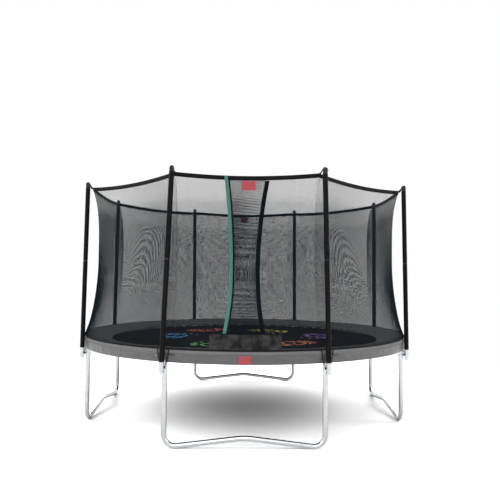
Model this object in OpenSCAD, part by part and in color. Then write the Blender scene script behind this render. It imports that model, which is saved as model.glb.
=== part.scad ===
// Garden trampoline: galvanised ring on four W legs, sprung mat, padded edge,
// and a safety net hung inside eight foam-sleeved poles with an overlapping entrance.
// Millimetres. Origin on the floor under the centre of the mat, +Z up, entrance towards -Y.

/* [Frame] */
// Radius of the ring, to the middle of its tube
ring_r = 1873; // [1700:1:2100]
// Height of the middle of the ring tube
ring_z = 859; // [800:1:950]
// Outer diameter of the ring and leg tube
tube_d = 50; // [42:0.5:54]
// Wall of the ring and leg tube
tube_wall = 2; // [1.5:0.1:3]
// Radial play between a swaged tube end and the tube that it enters
socket_play = 0.3; // [0.2:0.05:0.5]
// Length of the swaged end of each ring segment
swage_len = 58; // [40:1:75]
// How far each leg socket is turned from the middle of its ring segment, in degrees
leg_turn = 1; // [0:0.25:2]

/* [Legs] */
// Height of the joint between a W base and its uprights
leg_joint_z = 280; // [260:1:330]
// Length of the spigot in that joint
leg_spigot = 60; // [45:1:80]
// Centre-line radius of the bend above each foot
foot_bend_r = 105; // [90:1:130]
// Angle at which the base rises from a foot to the middle of the W, in degrees
base_rise = 6.8; // [5:0.1:8]
// Centre-line radius of the bend in the middle of the W
hump_r = 500; // [300:10:700]
// Depth of the leg socket below the ring
socket_depth = 34; // [30:1:45]

/* [Net poles] */
// Outer diameter of the pole tube
pole_d = 38; // [34:0.5:40]
// Wall of the pole tube
pole_wall = 1.8; // [1.5:0.1:2.5]
// How far the lower end of a pole is below the middle of the ring
pole_foot_drop = 169; // [160:1:190]
// Height above the ring of the joint between the two halves of a pole
pole_joint_rise = 889; // [740:1:1040]
// How far the upper end of a pole tube stands above the net's corners
pole_head_rise = 28; // [10:1:60]
// Room between a pole and the leg beside it
pole_gap = 21; // [18:0.5:26]
// How far the head of a pole leans towards the mat
pole_lean = 30; // [15:1:45]
// Outer diameter of the foam sleeve
sleeve_d = 50; // [46:0.5:54]
// How far the lower end of the foam sleeve is below the middle of the ring
sleeve_drop = 59; // [48:1:61]

/* [Mat and springs] */
// From the middle of the ring tube in to the edge of the jumping mat
mat_gap = 258; // [255:1:268]
// How far the top of the mat is below the middle of the ring
mat_drop = 11; // [10.5:0.5:13]
// Thickness of the mat
mat_t = 2; // [1:0.1:2.5]
// Number of springs in each of the eight ring segments
springs_per_segment = 9; // [6:1:10]
// Outer diameter of a spring
spring_d = 24; // [18:0.5:25]
// Wire diameter of springs and mat rings
wire_d = 4; // [3:0.1:4.2]

/* [Pad] */
// Width of the pad, from its rim in to its inner edge
pad_w = 320; // [310:1:340]
// Crown of the pad foam above its edges
pad_crown = 26; // [15:1:32]
// Thickness of the cover fabric
cover_t = 1.5; // [1:0.1:2]
// How far the lower edge of the skirt hangs below the middle of the ring
skirt_drop = 64; // [44:1:69]

/* [Safety net] */
// How far the net's corners are inside the ring at the top
net_top_in = 18; // [8:1:60]
// Height of the net's corners above the ring
net_rise = 1691; // [1550:1:1710]
// How far the net's corners are inside the ring where the net is drawn in most
waist_in = 103; // [75:1:160]
// Height above the ring where the net is drawn in most
waist_rise = 911; // [650:1:1050]
// Thickness of the net
net_t = 2; // [1.5:0.1:2.5]
// Width of the bars of the coarse mesh that the net is drawn as
mesh_bar = 100; // [80:1:130]
// Gaps of that mesh across a bay
mesh_gaps = 6; // [5:1:8]
// Gaps of that mesh up a bay
mesh_courses = 6; // [5:1:8]
// Height of the band along the net's top edge
band_h = 35; // [25:1:50]
// Sag of the band between two corners
band_sag = 40; // [20:1:60]
// Diameter of the corded hem along the net's lower edge
hem_d = 12; // [8:0.5:14]

/* [Entrance] */
// Height above the ring of the low sill across the entrance bay
sill_rise = 203; // [160:1:240]
// Half width of the reinforced panel on the sill
sill_half_w = 325; // [250:1:400]
// Width of the binding along the outer flap's edge
outer_binding_w = 45; // [35:1:55]
// Width of the binding along the inner flap's edge
inner_binding_w = 41; // [30:1:50]
// Room between the two flaps where they pass each other
flap_gap = 6; // [4:0.5:10]

/* [Hidden] */

steel = [0.80, 0.82, 0.84];
black = [0.08, 0.08, 0.09];
mesh_grey = [0.22, 0.24, 0.25, 0.6];
clear = 0.3;      // gap between pieces that rest against each other
sides = 8;        // poles, ring segments and net bays
segment_a = 360 / sides;
tube_r = tube_d / 2;
bore_r = tube_r - tube_wall;
spigot_r = bore_r - socket_play;
spigot_bore_r = spigot_r - tube_wall;
neck = 4;         // length over which a tube narrows to its spigot
stub_r = tube_r - 1.5;        // leg socket under the ring, a little slimmer than the legs
stub_bore_r = bore_r - 1.5;

// Angle at the middle of ring segment i, of its leg socket and pole, and of net corner i
function mid_a(i) = -112.5 + segment_a * i;
function turn(i) = i % 2 == 0 ? -1 : 1;
function leg_a(i) = mid_a(i) + turn(i) * leg_turn;
net_turn = 0.9;
function net_a(i) = mid_a(i) - turn(i) * net_turn;
function polar(r, a) = [r * cos(a), r * sin(a)];
function at_z(p, z) = [p.x, p.y, z];

// Radii and heights that follow the ring
mat_r = ring_r - mat_gap;
mat_z = ring_z - mat_drop;
net_top_r = ring_r - net_top_in;
net_top_z = ring_z + net_rise;
waist_r = ring_r - waist_in;
waist_z = ring_z + waist_rise;
sill_z = ring_z + sill_rise;
skirt_z = ring_z - skirt_drop;
sleeve_z = ring_z - sleeve_drop;
pole_foot_z = ring_z - pole_foot_drop;
pole_joint_z = ring_z + pole_joint_rise;
pole_head_z = net_top_z + pole_head_rise;

// ---- ring and legs ----
socket_z = ring_z - tube_r - socket_depth;

// An arc of round bar about Z, from angle a0 through angle a
module arc_bar(r, a0, a) {
    rotate([0, 0, a0]) rotate_extrude(angle = a, $fn = 180) translate([ring_r, 0]) circle(r, $fn = 48);
}

// Angle that a length takes up along the ring
function along(len) = len / ring_r * 180 / PI;

module spring_hole(a) {
    rotate([0, 0, a]) translate([ring_r - tube_r - 6, 0, hook_out_z - 0.8 - ring_z])
        rotate([0, 90, 0]) cylinder(h = tube_wall + 14, r = hole_r, $fn = 24);
}

module ring_segment(i) {
    start = mid_a(i) - segment_a / 2;
    play = along(clear);
    color(steel) translate([0, 0, ring_z]) difference() {
        union() {
            arc_bar(tube_r, start, segment_a - play);
            arc_bar(spigot_r, start + segment_a - along(neck), along(neck + swage_len));
            rotate([0, 0, leg_a(i)]) translate([ring_r, 0, socket_z - ring_z])
                cylinder(h = ring_z - socket_z, r = stub_r, $fn = 48);
        }
        arc_bar(bore_r, start - 1, 1 + segment_a - along(neck));
        arc_bar(spigot_bore_r, start + segment_a - along(neck) - play, along(neck + swage_len) + 1);
        rotate([0, 0, leg_a(i)]) translate([ring_r, 0, socket_z - ring_z - 1])
            cylinder(h = ring_z - socket_z + 1, r = stub_bore_r, $fn = 48);
        for (k = [0:springs_per_segment - 1]) spring_hole(spring_a(i, k));
    }
}

leg_screw_d = 6;
leg_screw_z = leg_joint_z + leg_spigot / 2 - 3;
module leg_screw_hole() {
    translate([0, 0, leg_screw_z]) rotate([0, 90, 0])
        cylinder(h = tube_r + 5, r = leg_screw_d / 2 + 0.2, $fn = 24);
}

// Upright: a tube with a swaged spigot at its upper end, inside the leg socket
top_spigot = 26;
module leg_upright(i) {
    z0 = leg_joint_z + clear;
    z1 = socket_z - clear;
    r = stub_bore_r - socket_play;
    color(steel) rotate([0, 0, leg_a(i)]) translate([ring_r, 0, 0]) difference() {
        union() {
            translate([0, 0, z0]) cylinder(h = z1 - z0, r = tube_r, $fn = 48);
            translate([0, 0, z1 - neck]) cylinder(h = neck + top_spigot, r = r, $fn = 48);
        }
        translate([0, 0, z0 - 1]) cylinder(h = z1 - z0 + 1 - neck, r = bore_r, $fn = 48);
        translate([0, 0, z1 - neck - 1]) cylinder(h = neck + top_spigot + 2, r = r - tube_wall, $fn = 48);
        leg_screw_hole();
    }
}

// W base between the uprights of poles 2k and 2k + 1; its feet are the lowest points of the end bends
base_half = ring_r * sin(segment_a / 2 + leg_turn);
base_out = ring_r * cos(segment_a / 2 + leg_turn);
// A bend is drawn a little slimmer than the straight tube and laps 1 mm into it at both ends
bend_play = 0.3;
riser_low = tube_r - bend_play + foot_bend_r;
base_run = (base_half - foot_bend_r * (1 + sin(base_rise)) - hump_r * sin(base_rise)) / cos(base_rise);
run_low = riser_low - foot_bend_r * cos(base_rise);
hump_z = run_low + base_run * sin(base_rise) - hump_r * cos(base_rise);
function lap(bend_r) = 180 / (PI * bend_r);
module bend_bar(bend_r, a0, a, r) {
    rotate([90, 0, 0]) rotate([0, 0, a0 - lap(bend_r)])
        rotate_extrude(angle = a + 2 * lap(bend_r), $fn = 96)
            translate([bend_r, 0]) circle(r - bend_play, $fn = 48);
}
// The whole base as a bar of radius r, its ends standing up to z1
module base_bar(r, z1) {
    for (s = [0, 1]) mirror([s, 0, 0]) {
        translate([-base_half + foot_bend_r * (1 + sin(base_rise)), 0, run_low])
            rotate([0, 90 - base_rise, 0]) cylinder(h = base_run, r = r, $fn = 48);
        translate([-base_half, 0, riser_low]) cylinder(h = z1 - riser_low, r = r, $fn = 48);
        translate([-base_half + foot_bend_r, 0, riser_low]) bend_bar(foot_bend_r, 180, 90 + base_rise, r);
    }
    translate([0, 0, hump_z]) bend_bar(hump_r, 90 - base_rise, 2 * base_rise, r);
}
module leg_base(k) {
    color(steel) rotate([0, 0, 90 * k]) translate([0, -base_out, 0]) difference() {
        union() {
            base_bar(tube_r, leg_joint_z);
            for (s = [-1, 1]) translate([s * base_half, 0, leg_joint_z - neck])
                cylinder(h = neck + leg_spigot, r = spigot_r, $fn = 48);
        }
        base_bar(bore_r, leg_joint_z - neck);
        for (s = [-1, 1]) translate([s * base_half, 0, 0]) {
            translate([0, 0, leg_joint_z - neck - 1])
                cylinder(h = neck + leg_spigot + 2, r = spigot_bore_r, $fn = 48);
            rotate([0, 0, -90 + s * (segment_a / 2 + leg_turn)]) leg_screw_hole();
        }
    }
}

// ---- net poles ----
pole_r = pole_d / 2;
pole_bore_r = pole_r - pole_wall;
pole_out = ring_r + tube_r + pole_gap + pole_r;
// How far the net pulls each pole's head sideways, anticlockwise seen from above
head_pull = [65, -30, 20, -35, 0, 25, 0, -20];
function pole_foot(i) = at_z(polar(pole_out, leg_a(i)), pole_foot_z);
function pole_head(i) = let (a = leg_a(i), p = polar(pole_out - pole_lean, a))
    [p.x - sin(a) * head_pull[i], p.y + cos(a) * head_pull[i], pole_head_z];

// Stands its children on pole i: +Z up the pole from its foot, +X away from the mat
module on_pole(i) {
    d = pole_head(i) - pole_foot(i);
    swing = atan2(d.y, d.x);
    translate(pole_foot(i)) rotate([0, acos(d.z / norm(d)), swing])
        rotate([0, 0, leg_a(i) - swing]) children();
}
pole_len = norm(pole_head(0) - pole_foot(0));
joint_at = pole_joint_z - pole_foot_z;
pole_spigot = 80;
module pipe(z0, z1, r_out, r_in) {
    translate([0, 0, z0]) difference() {
        cylinder(h = z1 - z0, r = r_out, $fn = 48);
        translate([0, 0, -1]) cylinder(h = z1 - z0 + 2, r = r_in, $fn = 48);
    }
}
module net_pole(i) {
    color(steel) on_pole(i) {
        pipe(0, joint_at, pole_r, pole_bore_r);
        pipe(joint_at - pole_spigot, joint_at + pole_spigot, pole_bore_r - socket_play,
            pole_bore_r - socket_play - pole_wall);
        pipe(joint_at + clear, pole_len, pole_r, pole_bore_r);
    }
}
sleeve_bore_r = pole_r + clear;
sleeve_top = pole_len - 18;   // the cap covers the tube above the sleeve
module pole_sleeve(i) {
    color(black) on_pole(i) {
        pipe(sleeve_z - pole_foot_z, joint_at, sleeve_d / 2, sleeve_bore_r);
        pipe(joint_at + 1, sleeve_top, sleeve_d / 2, sleeve_bore_r);
    }
}

// Cap: a bullet-shaped plug over the tube, with a lug on the outside that holds the corner strap
cap_r = sleeve_d / 2 - 2;
cap_skirt = 34;
dome_z = sleeve_top + clear + cap_skirt;
strap_t = 2;
strap_w = 20;
function strap_a(i) = let (h = pole_head(i), c = net_corner(i, net_top_z)) atan2(c.y - h.y, c.x - h.x);
// As on_pole, but with +X from the pole to its net corner
module towards_net(i) {
    on_pole(i) rotate([0, 0, strap_a(i) - leg_a(i)]) children();
}
module pole_cap(i) {
    towards_net(i) difference() {
        union() {
            translate([0, 0, sleeve_top + clear]) cylinder(h = cap_skirt, r = cap_r, $fn = 48);
            translate([0, 0, dome_z]) sphere(r = cap_r, $fn = 48);
            translate([0, 0, sleeve_top + clear]) cylinder(h = 6, r = sleeve_d / 2, $fn = 48);
            translate([-cap_r - 12, -strap_w / 2 + 4, dome_z - 14]) cube([16, strap_w - 8, 5]);
        }
        translate([0, 0, sleeve_top - 1]) cylinder(h = pole_len + 1.3 - sleeve_top, r = pole_r + clear, $fn = 48);
    }
}
module pole_caps() {
    color(black) for (i = [0:sides - 1]) pole_cap(i);
}

// Clamp: a band round leg and pole, pinched between them by a bolt
clamp_t = 3;
clamp_h = 26;
clamp_zs = [socket_z - clamp_h - 50, socket_z - clamp_h - 7];
waist_gap = 4;    // half the gap between the band's two straight runs
clamp_bolt_d = 6;
clamp_bolt_x = tube_r + (pole_gap + clamp_t) / 2;
module band_outline(grow) {
    circle(tube_r + clear + grow, $fn = 64);
    translate([tube_r + pole_gap + pole_r, 0]) circle(pole_r + clear + grow, $fn = 64);
    translate([0, -waist_gap - grow]) square([tube_r + pole_gap + pole_r, 2 * (waist_gap + grow)]);
}
module pole_clamps() {
    color(steel) for (i = [0:sides - 1], z = clamp_zs) difference() {
        rotate([0, 0, leg_a(i)]) translate([ring_r, 0, z]) difference() {
            linear_extrude(clamp_h) difference() {
                band_outline(clamp_t);
                circle(tube_r + clear, $fn = 64);
                translate([0, -waist_gap]) square([tube_r + pole_gap + pole_r, 2 * waist_gap]);
            }
            translate([clamp_bolt_x, -50, clamp_h / 2]) rotate([-90, 0, 0])
                cylinder(h = 100, r = clamp_bolt_d / 2 + 0.2, $fn = 24);
        }
        on_pole(i) translate([0, 0, z - pole_foot_z - 20]) cylinder(h = 80, r = pole_r + clear, $fn = 48);
    }
}
bolt_head_h = 4;
module clamp_bolt() {
    seat = waist_gap + clamp_t + 0.2;
    rotate([-90, 0, 0]) {
        translate([0, 0, -seat - bolt_head_h]) cylinder(h = bolt_head_h, r = clamp_bolt_d * 0.96, $fn = 6);
        translate([0, 0, -seat - 1]) cylinder(h = 2 * seat + 8, r = clamp_bolt_d / 2, $fn = 24);
        translate([0, 0, seat]) cylinder(h = bolt_head_h + 1, r = clamp_bolt_d * 0.96, $fn = 6);
    }
}
module frame_bolts() {
    color(steel) for (i = [0:sides - 1]) rotate([0, 0, leg_a(i)]) translate([ring_r, 0, 0]) {
        for (z = clamp_zs) translate([clamp_bolt_x, 0, z + clamp_h / 2]) clamp_bolt();
        translate([bore_r - 8, 0, leg_screw_z]) rotate([0, 90, 0]) {
            cylinder(h = tube_wall + 8 + clear + 1, r = leg_screw_d / 2, $fn = 24);
            translate([0, 0, tube_wall + 8 + clear]) cylinder(h = 2, r = leg_screw_d, $fn = 32);
            translate([0, 0, tube_wall + 10 + clear]) cylinder(h = 2, r1 = leg_screw_d, r2 = 4, $fn = 32);
        }
    }
}

// ---- mat and springs ----
function spring_a(i, k) = mid_a(i) - segment_a / 2 + segment_a * (k + 0.5) / springs_per_segment;
wire_r = wire_d / 2;
hook_r = wire_r + 2.9;        // centre-line radius of the inner hook, round the mat ring's bar
mat_ring_t = 3;
webbing_t = 2.4;
webbing_w = 50;
ring_plane = mat_z - mat_t - webbing_t - mat_ring_t / 2 - clear;
hook_in_r = mat_r + 17;
hook_in_z = ring_plane + hook_r;
out_hook_r = 5;
hook_out_r = ring_r - sqrt(pow(bore_r, 2) - 9) + wire_r - out_hook_r + 0.4;
hook_out_z = ring_z + 9;
hole_r = wire_r + 3;
slope = atan2(hook_out_z - hook_in_z, hook_out_r - hook_in_r);
spring_len = (hook_out_r - hook_in_r) / cos(slope);
spring_neck = 22;             // plain wire between a hook and the coils
spring_cone = 12;

// Hook of wire bent flat on its sides, down round a bar
hook_t = wire_d - 0.6;
module hook(r, leg) {
    translate([0, 0, -r]) rotate([90, 0, 0]) rotate_extrude(angle = 90, $fn = 32)
        translate([r - wire_r, -hook_t / 2]) square([wire_d, hook_t]);
    translate([-1, -hook_t / 2, -wire_r]) cube([1, hook_t, wire_d]);
    translate([r - wire_r, -hook_t / 2, -r - leg]) cube([wire_d, hook_t, leg]);
}
// Solid outline of a spring along +X: hooks, necks, cones and the coiled length
module spring() {
    neck_r = wire_r + 0.3;
    rotate([0, 90, 0]) rotate_extrude($fn = 32) polygon([
        [0, 0], [neck_r, 0], [neck_r, spring_neck], [spring_d / 2, spring_neck + spring_cone],
        [spring_d / 2, spring_len - spring_neck - spring_cone], [neck_r, spring_len - spring_neck],
        [neck_r, spring_len], [0, spring_len]]);
    translate([spring_len, 0, 0]) hook(out_hook_r, 5);
    mirror([1, 0, 0]) hook(hook_r, 4);
}
module springs() {
    color(steel) for (i = [0:sides - 1], k = [0:springs_per_segment - 1])
        rotate([0, 0, spring_a(i, k)]) translate([hook_in_r, 0, hook_in_z])
            rotate([0, -slope, 0]) spring();
}

module jumping_mat() {
    color(black) translate([0, 0, mat_z - mat_t]) cylinder(h = mat_t, r = mat_r, $fn = 180);
}

// Folded webbing under the mat's edge, which holds the inner bars of the mat rings
module mat_webbing() {
    top = mat_z - mat_t;
    low = ring_plane - mat_ring_t / 2 - clear - webbing_t;
    in_r = mat_r - webbing_w;
    color(black) rotate_extrude($fn = 180) polygon([
        [in_r, low], [mat_r, low], [mat_r, low + webbing_t], [in_r + webbing_t, low + webbing_t],
        [in_r + webbing_t, top - webbing_t], [mat_r, top - webbing_t], [mat_r, top], [in_r, top]]);
}

// Mat ring: a flat trapezium of bar, its wide side in the webbing and its narrow side in a spring hook
mat_ring_len = 34;
mat_ring_wide = 18;
mat_ring_narrow = 6;
// Half width of the trapezium at x, its outline set out by grow
function ring_half(x, grow) = let (slant = (mat_ring_wide - mat_ring_narrow) / mat_ring_len)
    mat_ring_narrow - x * slant + grow * sqrt(1 + slant * slant);
module ring_outline(grow) {
    polygon([for (p = [[-mat_ring_len - grow, -1], [-mat_ring_len - grow, 1], [grow, 1], [grow, -1]])
        [p.x, p.y * ring_half(p.x, grow)]]);
}
module mat_rings() {
    bar_r = hook_in_r + hook_r * sin(slope);
    bar_z = hook_in_z - hook_r * cos(slope);
    color(steel) for (i = [0:sides - 1], k = [0:springs_per_segment - 1])
        rotate([0, 0, spring_a(i, k)]) translate([bar_r, 0, bar_z - mat_ring_t / 2])
            linear_extrude(mat_ring_t) difference() {
                ring_outline(wire_r);
                ring_outline(-wire_r);
            }
}

// ---- pad ----
pad_out_r = ring_r + tube_r + 5.5 + cover_t;
pad_in_r = pad_out_r - pad_w;
pad_drop = 28;    // fall of the pad's underside from the ring to its inner edge
pad_seat = ring_z + tube_r + clear;
pad_tuck = 62;    // width of cover folded under the pad's inner edge
pad_steps = 20;
function pad_under(r) = pad_seat - pad_drop * max(0, ring_r - tube_r - r) / (ring_r - tube_r - pad_in_r);
function pad_thick(r) = let (s = (r - pad_in_r) / (pad_out_r - pad_in_r))
    12 + 12 * s + pad_crown * sin(180 * pow(max(s, 0), 1.5));
// Upper outline of the pad, a depth below its skin, from r0 to r1
function pad_top(r0, r1, depth) = [for (n = [0:pad_steps])
    let (r = r0 + (r1 - r0) * n / pad_steps) [r, pad_under(r) + pad_thick(r) - depth]];
module pad_foam() {
    in_r = pad_in_r + cover_t + clear;
    out_r = pad_out_r - cover_t - clear;
    tuck_r = pad_in_r + pad_tuck + clear;
    lift = cover_t + clear;
    color([0.9, 0.9, 0.88]) rotate_extrude($fn = 180) polygon(concat(
        pad_top(out_r, in_r, lift),
        [[in_r, pad_under(in_r) + lift], [tuck_r, pad_under(tuck_r) + lift], [tuck_r, pad_under(tuck_r)],
         [ring_r - tube_r, pad_seat], [out_r, pad_seat]]));
}
module pad_cover() {
    in_r = pad_in_r + cover_t;
    out_r = pad_out_r - cover_t;
    tuck_r = pad_in_r + pad_tuck;
    color([0.45, 0.45, 0.46]) rotate_extrude($fn = 180) polygon(concat(
        [[out_r, skirt_z], [pad_out_r, skirt_z]],
        pad_top(pad_out_r, pad_in_r, 0),
        [[pad_in_r, pad_under(pad_in_r)], [tuck_r, pad_under(tuck_r)],
         [tuck_r, pad_under(tuck_r) + cover_t], [in_r, pad_under(in_r) + cover_t]],
        pad_top(in_r, out_r, cover_t)));
}

// ---- safety net ----
hem_r = hem_d / 2;
hem_out = pad_out_r - 12;
hem_z = pad_under(hem_out) + pad_thick(hem_out) + hem_r + 1.2;
net_low_z = hem_z + hem_r + clear;
bay_cols = 8;

// Radius of the net's corners at a height: from the hem in to the waist and out to the top
function net_r(z) = z > waist_z
    ? waist_r + (net_top_r - waist_r) * pow((z - waist_z) / (net_top_z - waist_z), 4)
    : waist_r + (hem_out - waist_r) * pow((waist_z - z) / (waist_z - hem_z), 2);
// 0 where the net is round, at the hem, to 1 where it is straight from corner to corner, at the top
function straightness(z) = 1 - pow(1 - min(1, max(0, (z - hem_z) / (net_top_z - hem_z))), 2.5);
function net_corner(i, z) = polar(net_r(z), net_a(i));
function net_at(i, u, z, out = 0) =
    let (r = net_r(z) + out, a0 = net_a(i), a1 = net_a(i + 1), w = straightness(z),
         arc = polar(r, a0 + (a1 - a0) * u),
         chord = polar(r, a0) * (1 - u) + polar(r, a1) * u)
    at_z(arc * (1 - w) + chord * w, z);
function net_top_at(u) = net_top_z - band_sag * 4 * u * (1 - u);
function band_low_at(u) = net_top_at(u) - band_h;

// Closes two grids of points, the outer and the inner face of a sheet, into a solid
// With gap_rows set, it is a mesh: the cells between its bars are left open
module sheet(outer, inner, gap_rows = 0) {
    rows = len(outer);
    cols = len(outer[0]);
    n = rows * cols;
    function quad(a, b, c, d) = [[a, b, c], [a, c, d]];
    function solid(r, c) = r >= 0 && r < rows - 1 && c >= 0 && c < cols - 1
        && (gap_rows == 0 || c % 2 == 0 || r % (1 + gap_rows) == 0);
    faces = [
        for (r = [0:rows - 2], c = [0:cols - 2]) let (k = r * cols + c) if (solid(r, c))
            each concat(quad(k, k + cols, k + cols + 1, k + 1), quad(k + n, k + n + 1, k + n + cols + 1, k + n + cols)),
        for (r = [0:rows - 1], c = [0:cols - 2]) let (k = r * cols + c) if (solid(r, c) != solid(r - 1, c))
            each solid(r, c) ? quad(k, k + 1, k + n + 1, k + n) : quad(k, k + n, k + n + 1, k + 1),
        for (r = [0:rows - 2], c = [0:cols - 1]) let (k = r * cols + c) if (solid(r, c) != solid(r, c - 1))
            each solid(r, c) ? quad(k, k + n, k + n + cols, k + cols) : quad(k, k + cols, k + n + cols, k + n)
    ];
    polyhedron(points = concat([for (r = outer) each r], [for (r = inner) each r]), faces = faces);
}
// Shares from 0 to 1 in even steps, and those of a mesh: a bar of width w, then a gap in so many steps
function even(steps) = [for (n = [0:steps]) n / steps];
function barred(gaps, steps, w) = let (pitch = (1 - w) / gaps) concat(
    [for (g = [0:gaps - 1]) each concat([g * pitch],
        [for (n = [0:steps - 1]) g * pitch + w + (pitch - w) * n / steps])],
    [1 - w, 1]);
// Grid over bay i, at shares of its width and height: u0(z) to u1(z) across, from z0 up to z1(u),
// set out by out(s) from the net's surface
function grid(i, across, upwards, z0, z1, u0, u1, out) = [for (t = upwards) [for (s = across)
    let (zt = z1(0.5), u_top = u0(zt) + (u1(zt) - u0(zt)) * s,
         z = z0 + (z1(u_top) - z0) * t, u = u0(z) + (u1(z) - u0(z)) * s)
    net_at(i, u, z, out(s))]];

seam = 0.00025;   // share of a bay left open at each corner seam
bay_left = function (z) seam;
bay_right = function (z) 1 - seam;
net_upper = function (u) band_low_at(u) - 4 * clear;
bay_w = 2 * waist_r * sin(segment_a / 2);
bay_h = net_top_z - net_low_z;
// Mesh over bay i between two edges, part of a bay wide, whose gaps are drawn in so many steps of height
module mesh(i, share, steps, z0, left, right, out) {
    across = barred(round(mesh_gaps * share), 1, mesh_bar / (bay_w * share));
    upwards = barred(mesh_courses, steps, mesh_bar / bay_h);
    color(mesh_grey) sheet(
        grid(i, across, upwards, z0, net_upper, left, right, function (s) out(s) + net_t),
        grid(i, across, upwards, z0, net_upper, left, right, out), gap_rows = steps);
}
module net_bay(i) {
    mesh(i, 1, 1, net_low_z, bay_left, bay_right, function (s) 0);
}

// Top band in eight runs that share their corner edges, and the corded hem
band_t = net_t + 0.5;
function band_ring(z_of, out) = [for (i = [0:sides - 1], c = [0:bay_cols - 1])
    let (u = c / bay_cols) net_at(i, u, z_of(u), out)];
module net_bands() {
    loops = [
        band_ring(function (u) band_low_at(u), band_t), band_ring(function (u) net_top_at(u), band_t),
        band_ring(function (u) net_top_at(u), 0), band_ring(function (u) band_low_at(u), 0)];
    n = len(loops[0]);
    color(black) {
        polyhedron(points = [for (l = loops) each l], faces = [
            for (l = [0:3], c = [0:n - 1]) let (a = l * n + c, b = l * n + (c + 1) % n,
                d = ((l + 1) % 4) * n + c, e = ((l + 1) % 4) * n + (c + 1) % n)
                each [[a, d, b], [b, d, e]]]);
        translate([0, 0, hem_z]) rotate_extrude($fn = 180) translate([hem_out, 0]) circle(hem_r, $fn = 24);
    }
}

// Corner strap: webbing from a net corner up over the pole's cap to the lug on its far side
module corner_straps() {
    color(black) for (i = [0:sides - 1]) {
        in_r = cap_r + clear;
        reach = norm(net_corner(i, net_top_z) - [pole_head(i).x, pole_head(i).y]) - band_t;
        drop = pole_head_z - net_top_z + dome_z - pole_len + 22;
        fall = strap_fall(in_r, reach, drop);
        towards_net(i) {
            translate([0, 0, dome_z]) rotate([90, 0, 0]) rotate([0, 0, 90 - fall])
                rotate_extrude(angle = 80 + fall, $fn = 64)
                    translate([in_r, -strap_w / 2]) square([strap_t, strap_w]);
            translate([0, 0, dome_z]) rotate([0, fall, 0])
                translate([0, -strap_w / 2, in_r]) cube([strap_run(in_r, reach, drop), strap_w, strap_t]);
        }
    }
}
// Angle below level, and length, of the straight run from the cap's dome to the net corner
function strap_fall(r, reach, drop) = atan2(drop, reach) + asin(r / norm([reach, drop]));
function strap_run(r, reach, drop) = sqrt(pow(reach, 2) + pow(drop, 2) - pow(r, 2)) - 2;

// ---- entrance, in bay 0 ----
// Place of a flap's edge at a height, from its x at the sill, at mid height and at the top
edge_mid_z = 1600;
function edge_x(x, z) = z > edge_mid_z
    ? x[1] + (x[2] - x[1]) * pow((z - edge_mid_z) / (net_top_z - edge_mid_z), 2)
    : x[1] + (x[0] - x[1]) * pow((edge_mid_z - z) / (edge_mid_z - sill_z), 2);
function bay_u(x, z) = 0.5 + x / (2 * net_r(z) * sin(segment_a / 2 - net_turn));
outer_edge = [-181, -130, -190];
inner_edge = [160, 110, 210];
flap_out = net_t + flap_gap;
flap_low = sill_z + 4;
flap_share = 0.6;   // share of the bay that a flap covers
flap_steps = 3;     // steps of height in a gap of the flaps' mesh, which follow their curved edges
binding_rows = 20;
sill_upper = function (u) sill_z;

module entrance_sill() {
    panel_l = function (z) bay_u(-sill_half_w, z);
    panel_r = function (z) bay_u(sill_half_w, z);
    panel_in = net_t + clear;
    color(mesh_grey) sheet(
        grid(0, even(bay_cols), even(2), net_low_z, sill_upper, bay_left, bay_right, function (s) net_t),
        grid(0, even(bay_cols), even(2), net_low_z, sill_upper, bay_left, bay_right, function (s) 0));
    color(black) sheet(
        grid(0, even(bay_cols), even(2), net_low_z, sill_upper, panel_l, panel_r, function (s) panel_in + 1.5),
        grid(0, even(bay_cols), even(2), net_low_z, sill_upper, panel_l, panel_r, function (s) panel_in));
}
// Outer flap: from the right corner to its binding, passing in front of the inner flap
module outer_flap_net() {
    left = function (z) bay_u(edge_x(outer_edge, z) + outer_binding_w / 2 + clear, z);
    mesh(0, flap_share, flap_steps, sill_z + clear, left, bay_right, function (s) flap_out * min(1, 2 * (1 - s)));
}
module inner_flap_net() {
    right = function (z) bay_u(edge_x(inner_edge, z) - inner_binding_w / 2 - clear, z);
    mesh(0, flap_share, flap_steps, sill_z + clear, bay_left, right, function (s) 0);
}
// Binding along a flap's edge, w wide, between two distances out from the net's surface
module binding(edge, w, top, out0, out1) {
    left = function (z) bay_u(edge_x(edge, z) - w / 2, z);
    right = function (z) bay_u(edge_x(edge, z) + w / 2, z);
    sheet(grid(0, even(1), even(binding_rows), flap_low, top, left, right, function (s) out1),
          grid(0, even(1), even(binding_rows), flap_low, top, left, right, function (s) out0));
}
module outer_flap_binding() {
    color([0.16, 0.55, 0.43])
        binding(outer_edge, outer_binding_w, function (u) net_top_at(u) - 2, flap_out - 0.5, flap_out + net_t + 0.5);
}
module inner_flap_binding() {
    color(black)
        binding(inner_edge, inner_binding_w, function (u) band_low_at(0.5) - 1, -0.5, net_t + 0.5);
}

// ---- tie cords ----
// Elastic cord from the hem, over the edge of the pad and down beside the pole to the lower clamp's bolt
cord_d = 6;
cord_r = cord_d / 2;
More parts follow.
